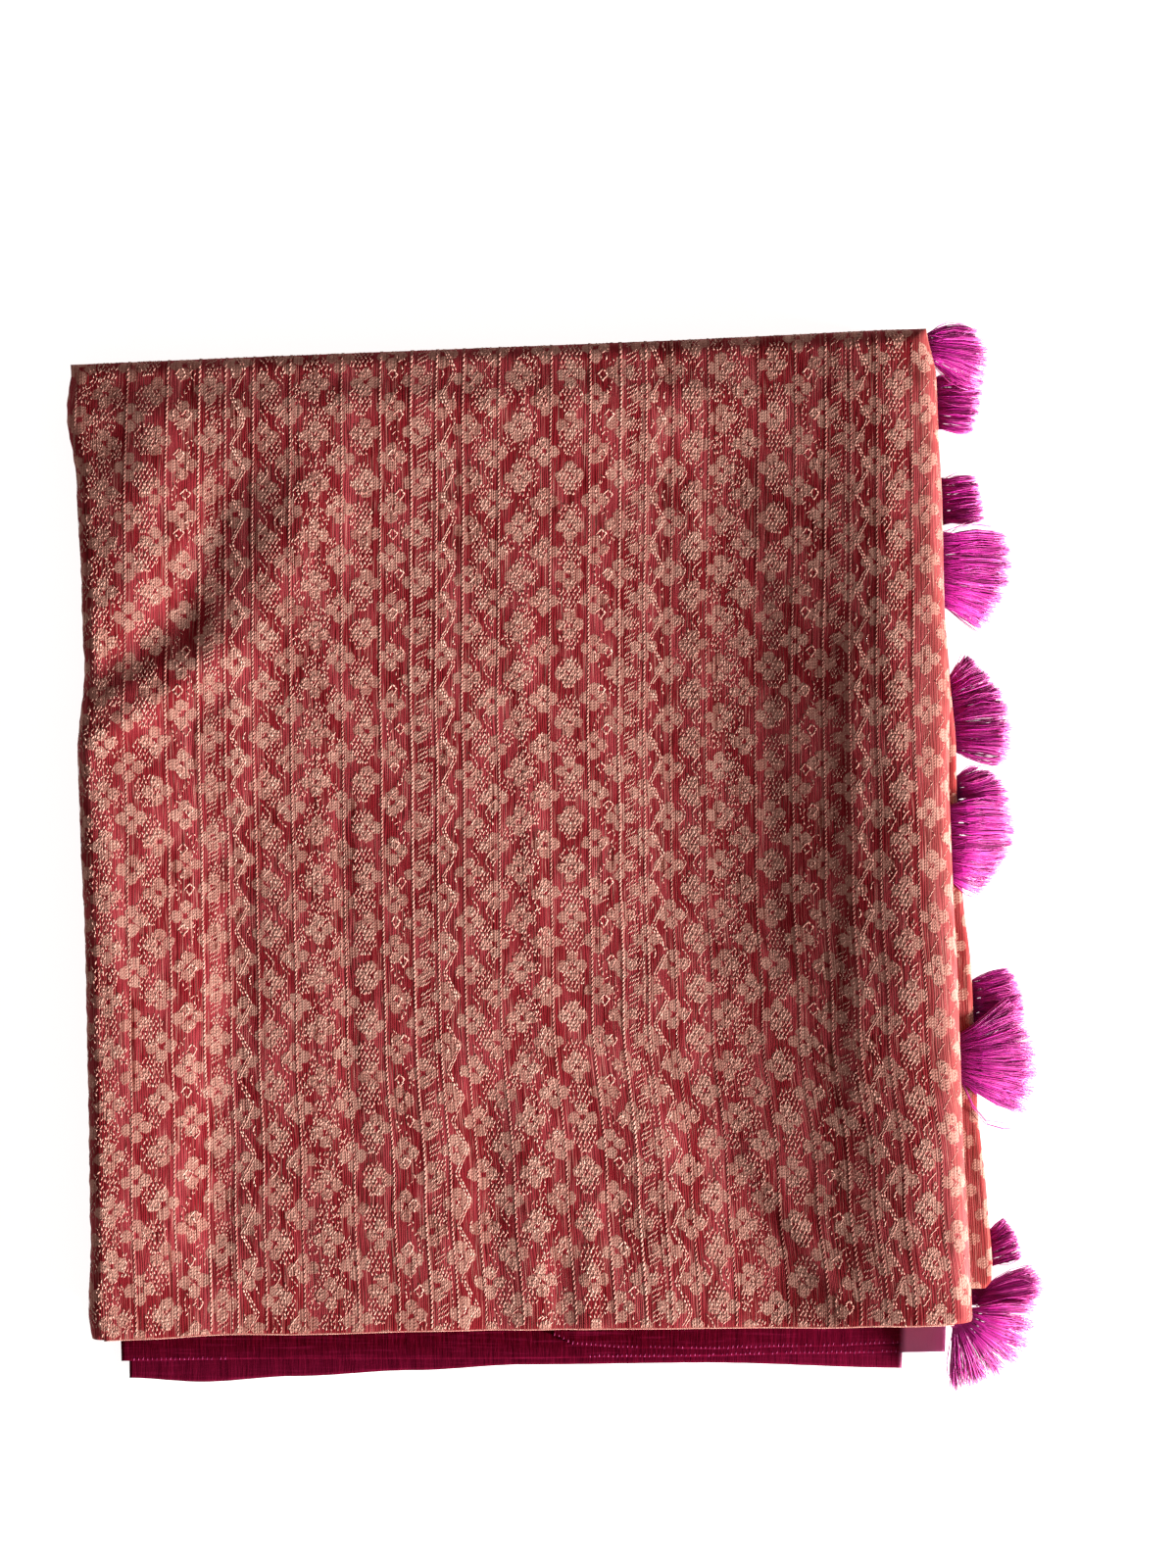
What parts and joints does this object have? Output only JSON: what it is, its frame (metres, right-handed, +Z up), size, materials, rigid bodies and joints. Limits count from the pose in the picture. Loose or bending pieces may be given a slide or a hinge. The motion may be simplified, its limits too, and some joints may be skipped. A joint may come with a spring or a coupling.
{
  "type": "folded saree",
  "caption": "Saree folded flat into a rectangular packet, its woven and printed body wrapped over the inner layers, with a plain end peeping out below and tassels along one side.",
  "frame": {"origin": "centre of the footprint, on the surface that the packet lies on", "axes": "+Z up out of the packet's top face; +Y along the packet's longer side, towards the folded end; +X towards the side with the tassels"},
  "size_m": [0.5716, 0.6228, 0.0368],
  "materials": {
    "printed_jacquard": "soft silky sheen, ribbed weave with small raised floats and a pale flower print",
    "plain_slub_cloth": "slubbed plain weave with a low sheen",
    "tassel_silk": "bright silk thread with a strong sheen"
  },
  "bodies": {
    "root": {"top_panel": "printed_jacquard", "second_fold": "printed_jacquard", "hidden_layers": "printed_jacquard", "end_edge_upper": "printed_jacquard", "end_edge_lower": "printed_jacquard", "plain_layer_lower": "plain_slub_cloth", "plain_layer_middle": "plain_slub_cloth", "plain_layer_upper": "plain_slub_cloth", "tassel_01": "tassel_silk", "tassel_02": "tassel_silk", "tassel_03": "tassel_silk", "tassel_04": "tassel_silk", "tassel_05": "tassel_silk", "tassel_06": "tassel_silk", "tassel_07": "tassel_silk", "tassel_08": "tassel_silk", "tassel_09": "tassel_silk", "tassel_10": "tassel_silk", "tassel_11": "tassel_silk", "tassel_12": "tassel_silk"}
  },
  "joints": []
}
